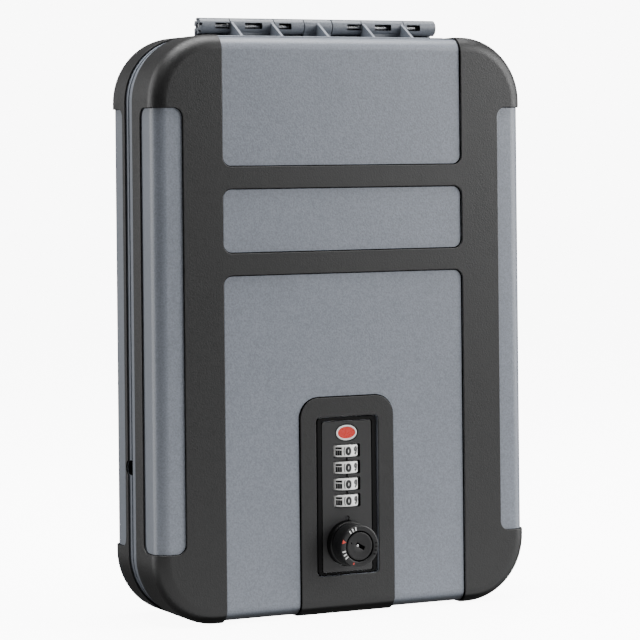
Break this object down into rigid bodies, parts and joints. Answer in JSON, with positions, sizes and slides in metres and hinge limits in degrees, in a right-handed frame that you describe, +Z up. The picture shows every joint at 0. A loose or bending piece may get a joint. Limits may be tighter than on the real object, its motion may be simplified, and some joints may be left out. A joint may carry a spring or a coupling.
{
  "type": "key lock box",
  "caption": "Key lock box with a hinged two-part case, black corner bumpers, foam lining, number-wheel lock, turning knob with key core and a cable notch.",
  "frame": {"origin": "on the ground, under the middle of the box, as it stands on its lower bumpers", "axes": "+Z up along the box's long side, +Y towards the base's back, the lock faces -Y, +X to the right of someone facing the lock"},
  "size_m": [0.1768, 0.0606, 0.2554],
  "materials": {
    "shell_plastic": "grey, fine texture",
    "bumper_plastic": "black, fine texture",
    "lock_plastic": "black satin",
    "knob_plastic": "black, half gloss",
    "dial_plastic": "white, half gloss",
    "badge_plastic": "red, half gloss",
    "steel": "zinc plated",
    "spring_steel": "bright",
    "cast_zinc": "die-cast zinc, as cast",
    "brass": "turned",
    "foam": "black open-cell foam"
  },
  "bodies": {
    "base": {"base_shell": "shell_plastic", "base_bumper": "bumper_plastic", "base_foam": "foam", "keeper_plate": "steel", "keeper_screw_1": "steel", "keeper_screw_2": "steel", "hinge_pin": "steel"},
    "lid": {"lid_shell": "shell_plastic", "lid_bumper": "bumper_plastic", "lid_foam": "foam", "lock_surround": "bumper_plastic", "lock_bezel": "lock_plastic", "lock_plate": "lock_plastic", "lock_badge": "badge_plastic", "lock_housing": "cast_zinc", "housing_cover": "steel", "cover_screw_1": "steel", "cover_screw_2": "steel", "cover_screw_3": "steel", "cover_screw_4": "steel", "dial_axle": "steel", "detent_spring": "spring_steel", "reset_spring": "spring_steel", "knob_collar": "knob_plastic"},
    "dial_1": {"number_wheel_1": "dial_plastic", "clutch_sleeve_1": "brass"},
    "dial_2": {"number_wheel_2": "dial_plastic", "clutch_sleeve_2": "brass"},
    "dial_3": {"number_wheel_3": "dial_plastic", "clutch_sleeve_3": "brass"},
    "dial_4": {"number_wheel_4": "dial_plastic", "clutch_sleeve_4": "brass"},
    "turner": {"knob": "knob_plastic", "knob_spindle": "steel", "latch_cam": "steel", "cam_screw": "steel"},
    "core": {"key_core": "lock_plastic"},
    "reset": {"reset_button": "steel"}
  },
  "joints": [
    {"name": "lid_hinge", "type": "hinge", "parent": "base", "child": "lid", "pos_m": [0, 0.0075, 0.252], "axis": [-1, 0, 0], "range_deg": [0, 180]},
    {"name": "dial_1_turn", "type": "hinge", "parent": "lid", "child": "dial_1", "pos_m": [0, -0.0146, 0.06975], "axis": [0, 0, 1], "continuous": true},
    {"name": "dial_2_turn", "type": "hinge", "parent": "lid", "child": "dial_2", "pos_m": [0, -0.0146, 0.06266], "axis": [0, 0, 1], "continuous": true},
    {"name": "dial_3_turn", "type": "hinge", "parent": "lid", "child": "dial_3", "pos_m": [0, -0.0146, 0.05557], "axis": [0, 0, 1], "continuous": true},
    {"name": "dial_4_turn", "type": "hinge", "parent": "lid", "child": "dial_4", "pos_m": [0, -0.0146, 0.04848], "axis": [0, 0, 1], "continuous": true},
    {"name": "knob_turn", "type": "hinge", "parent": "lid", "child": "turner", "pos_m": [0, -0.0309, 0.0303], "axis": [0, 1, 0], "range_deg": [0, 90]},
    {"name": "key_turn", "type": "hinge", "parent": "turner", "child": "core", "pos_m": [0, -0.0309, 0.0303], "axis": [0, 1, 0], "range_deg": [0, 90]},
    {"name": "reset_push", "type": "slide", "parent": "lid", "child": "reset", "axis": [0, 1, 0], "range_m": [0, 0.001], "stiffness_N_per_m": 150, "deforming": ["reset_spring"]}
  ]
}
